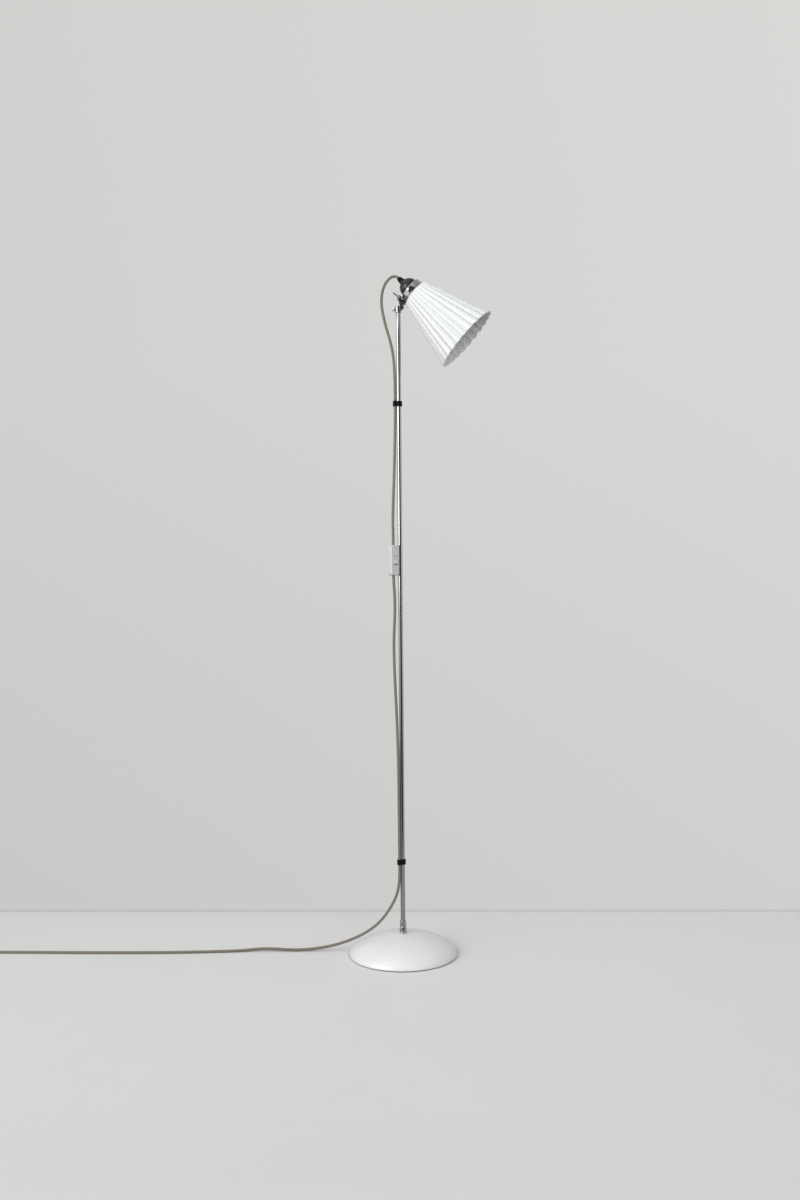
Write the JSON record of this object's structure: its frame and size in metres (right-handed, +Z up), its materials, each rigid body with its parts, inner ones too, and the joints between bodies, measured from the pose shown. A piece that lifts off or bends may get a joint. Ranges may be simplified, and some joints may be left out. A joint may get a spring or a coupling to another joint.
{
  "type": "pleated shade floor lamp",
  "caption": "Reading floor lamp: pleated white china shade that tilts and swivels on a chrome rod, with a domed white base and a cord with an inline switch.",
  "frame": {"origin": "on the floor, on the axis of the rod, in the middle of the round base", "axes": "+Z up along the rod, +X towards the side that the shade leans to, +Y away from the viewer of the picture"},
  "size_m": [1.2866, 0.2344, 1.4557],
  "materials": {
    "white_enamel": "glossy white enamel",
    "iron": "raw cast iron",
    "felt": "dark pressed felt",
    "chrome": "polished chrome plate",
    "zinc": "zinc-plated steel",
    "clip_rubber": "matt black rubber",
    "braid": "woven cotton braid in beige and brown",
    "white_plastic": "satin white plastic",
    "black_plastic": "moulded black plastic with a soft gloss",
    "brass": "plain brass",
    "china": "glazed white china",
    "ceramic": "unglazed ceramic",
    "frosted_glass": "frosted glass",
    "bulb_metal": "satin aluminium",
    "fibre": "black fibre"
  },
  "bodies": {
    "stand": {"base_cover": "white_enamel", "base_weight": "iron", "base_felt": "felt", "rod_socket": "chrome", "socket_grub_screw": "zinc", "rod": "chrome", "rod_stud": "zinc", "rod_fixing_washer": "zinc", "rod_fixing_nut": "zinc", "upper_cord_clip": "clip_rubber", "lower_cord_clip": "clip_rubber", "cord_loop_at_rod": "braid", "cord_above_switch": "braid", "cord_below_switch": "braid", "cord_on_floor": "braid", "cord_coil": "braid", "plug_sleeve": "white_plastic", "plug_body": "white_plastic", "plug_pins": "brass", "switch_back": "white_plastic", "switch_front_cover": "white_plastic", "switch_screws": "zinc", "switch_terminals": "black_plastic", "switch_contacts": "brass"},
    "knuckle": {"swivel_knuckle": "chrome", "cord_loop_at_head": "braid"},
    "head": {"head_bracket": "chrome", "friction_washers": "fibre", "wing_nut_washer": "zinc", "pivot_bolt": "zinc", "shade_collar": "chrome", "lampholder_cap": "black_plastic", "lampholder_body": "black_plastic", "terminal_disc": "ceramic", "centre_contact": "brass", "screw_shell": "brass", "cord_grip": "black_plastic", "shade_nut": "black_plastic", "shade": "china", "bulb_glass": "frosted_glass", "bulb_cap": "bulb_metal"},
    "thumb_screw": {"thumb_screw": "chrome"},
    "wing_nut": {"wing_nut": "chrome"},
    "rocker": {"switch_rocker": "white_plastic"}
  },
  "joints": [
    {"name": "head_swivel", "type": "hinge", "parent": "stand", "child": "knuckle", "pos_m": [0, 0, 1.38], "axis": [0, 0, 1], "range_deg": [-60, 60], "deforming": ["cord_loop_at_rod"]},
    {"name": "head_tilt", "type": "hinge", "parent": "knuckle", "child": "head", "pos_m": [0.0028, -0.00015, 1.4045], "axis": [-0.0523, -0.9986, 0], "range_deg": [-10, 50], "deforming": ["cord_loop_at_head"]},
    {"name": "thumb_screw_turn", "type": "hinge", "parent": "knuckle", "child": "thumb_screw", "pos_m": [-0.00799, 0.00042, 1.3814], "axis": [-0.9986, 0.0523, 0], "range_deg": [-180, 180]},
    {"name": "wing_nut_turn", "type": "hinge", "parent": "head", "child": "wing_nut", "pos_m": [0.00227, -0.01013, 1.4045], "axis": [-0.0523, -0.9986, 0], "range_deg": [-60, 10]},
    {"name": "switch_rock", "type": "hinge", "parent": "stand", "child": "rocker", "pos_m": [-0.01169, -0.01259, 0.8434], "axis": [0.7986, 0.6018, 0], "range_deg": [0, 12]}
  ]
}
